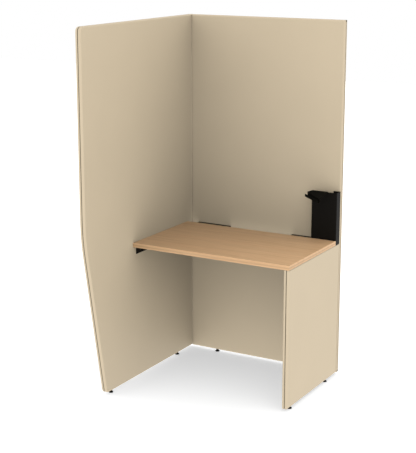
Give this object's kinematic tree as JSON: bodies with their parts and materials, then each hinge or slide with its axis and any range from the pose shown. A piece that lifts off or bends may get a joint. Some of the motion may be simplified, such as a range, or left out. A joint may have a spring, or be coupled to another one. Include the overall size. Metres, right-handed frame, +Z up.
{
  "type": "booth desk",
  "caption": "Work booth desk: tall panels at the left and back, a low panel under the right end, a wood-faced worktop and a black sheet-steel post with a slot for a phone.",
  "frame": {"origin": "On the floor, at the bottom centre of the outer box", "axes": "+X to the user's right, +Y away from the user to the back panel, +Z up"},
  "size_m": [0.885, 1, 1.8],
  "materials": {
    "panel_coat": "warm beige powder coat, fine texture, low sheen",
    "groove_coat": "darker beige coat in the groove, matt",
    "zinc_steel": "bright zinc plate",
    "black_coat": "black powder coat, fine texture, semi-matt",
    "black_screw": "black zinc plate, semi-matt",
    "particle_board": "raw pressed wood chips",
    "wood_laminate": "wood-grain laminate, satin, grain along the length",
    "backing_sheet": "plain backing laminate, matt",
    "wood_edge": "wood-grain edge band, satin",
    "black_plastic": "moulded, matt",
    "cap_plastic": "moulded, beige, matt",
    "foot_steel": "dark zinc plate"
  },
  "bodies": {
    "frame": {"left_outer_skin": "panel_coat", "left_inner_skin": "panel_coat", "left_edge_channel": "groove_coat", "left_stiffeners": "zinc_steel", "back_rear_skin": "panel_coat", "back_front_skin": "panel_coat", "back_edge_channel": "groove_coat", "back_stiffeners": "zinc_steel", "back_corner_plugs": "black_plastic", "side_outer_skin": "panel_coat", "side_inner_skin": "panel_coat", "side_edge_channel": "groove_coat", "side_stiffeners": "zinc_steel", "worktop_board": "particle_board", "worktop_laminate": "wood_laminate", "worktop_backing": "backing_sheet", "worktop_edge_band": "wood_edge", "support_angle": "black_coat", "side_brackets": "black_coat", "rivet_nuts": "zinc_steel", "panel_screws": "black_screw", "wood_screws": "black_screw", "joint_bolts": "zinc_steel", "joint_sleeves": "zinc_steel", "joint_nuts": "zinc_steel", "joint_caps": "cap_plastic", "device_post": "black_coat", "post_studs": "zinc_steel", "device_rest": "black_coat", "rest_nuts": "zinc_steel", "foot_nuts": "zinc_steel"},
    "left_front_base": {"left_front_pad": "black_plastic"},
    "left_front_screw": {"left_front_collar": "foot_steel", "left_front_stud": "foot_steel"},
    "left_rear_base": {"left_rear_pad": "black_plastic"},
    "left_rear_screw": {"left_rear_collar": "foot_steel", "left_rear_stud": "foot_steel"},
    "back_left_base": {"back_left_pad": "black_plastic"},
    "back_left_screw": {"back_left_collar": "foot_steel", "back_left_stud": "foot_steel"},
    "back_right_base": {"back_right_pad": "black_plastic"},
    "back_right_screw": {"back_right_collar": "foot_steel", "back_right_stud": "foot_steel"},
    "side_front_base": {"side_front_pad": "black_plastic"},
    "side_front_screw": {"side_front_collar": "foot_steel", "side_front_stud": "foot_steel"},
    "side_rear_base": {"side_rear_pad": "black_plastic"},
    "side_rear_screw": {"side_rear_collar": "foot_steel", "side_rear_stud": "foot_steel"}
  },
  "joints": [
    {"name": "left_front_lift", "type": "slide", "parent": "frame", "child": "left_front_base", "axis": [0, 0, -1], "range_m": [0, 0.01]},
    {"name": "left_front_turn", "type": "hinge", "parent": "left_front_base", "child": "left_front_screw", "pos_m": [-0.4275, -0.295, 0.0083], "axis": [0, 0, -1], "range_deg": [0, 2880]},
    {"name": "left_rear_lift", "type": "slide", "parent": "frame", "child": "left_rear_base", "axis": [0, 0, -1], "range_m": [0, 0.01]},
    {"name": "left_rear_turn", "type": "hinge", "parent": "left_rear_base", "child": "left_rear_screw", "pos_m": [-0.4275, 0.335, 0.0083], "axis": [0, 0, -1], "range_deg": [0, 2880]},
    {"name": "back_left_lift", "type": "slide", "parent": "frame", "child": "back_left_base", "axis": [0, 0, -1], "range_m": [0, 0.01]},
    {"name": "back_left_turn", "type": "hinge", "parent": "back_left_base", "child": "back_left_screw", "pos_m": [-0.2625, 0.485, 0.0083], "axis": [0, 0, -1], "range_deg": [0, 2880]},
    {"name": "back_right_lift", "type": "slide", "parent": "frame", "child": "back_right_base", "axis": [0, 0, -1], "range_m": [0, 0.01]},
    {"name": "back_right_turn", "type": "hinge", "parent": "back_right_base", "child": "back_right_screw", "pos_m": [0.2925, 0.485, 0.0083], "axis": [0, 0, -1], "range_deg": [0, 2880]},
    {"name": "side_front_lift", "type": "slide", "parent": "frame", "child": "side_front_base", "axis": [0, 0, -1], "range_m": [0, 0.01]},
    {"name": "side_front_turn", "type": "hinge", "parent": "side_front_base", "child": "side_front_screw", "pos_m": [0.4275, -0.043, 0.0083], "axis": [0, 0, -1], "range_deg": [0, 2880]},
    {"name": "side_rear_lift", "type": "slide", "parent": "frame", "child": "side_rear_base", "axis": [0, 0, -1], "range_m": [0, 0.01]},
    {"name": "side_rear_turn", "type": "hinge", "parent": "side_rear_base", "child": "side_rear_screw", "pos_m": [0.4275, 0.36, 0.0083], "axis": [0, 0, -1], "range_deg": [0, 2880]}
  ],
  "couplings": [
    {"joint": "left_front_turn", "follows": "left_front_lift", "rad_per_m": 5026.5},
    {"joint": "left_rear_turn", "follows": "left_rear_lift", "rad_per_m": 5026.5},
    {"joint": "back_left_turn", "follows": "back_left_lift", "rad_per_m": 5026.5},
    {"joint": "back_right_turn", "follows": "back_right_lift", "rad_per_m": 5026.5},
    {"joint": "side_front_turn", "follows": "side_front_lift", "rad_per_m": 5026.5},
    {"joint": "side_rear_turn", "follows": "side_rear_lift", "rad_per_m": 5026.5}
  ]
}
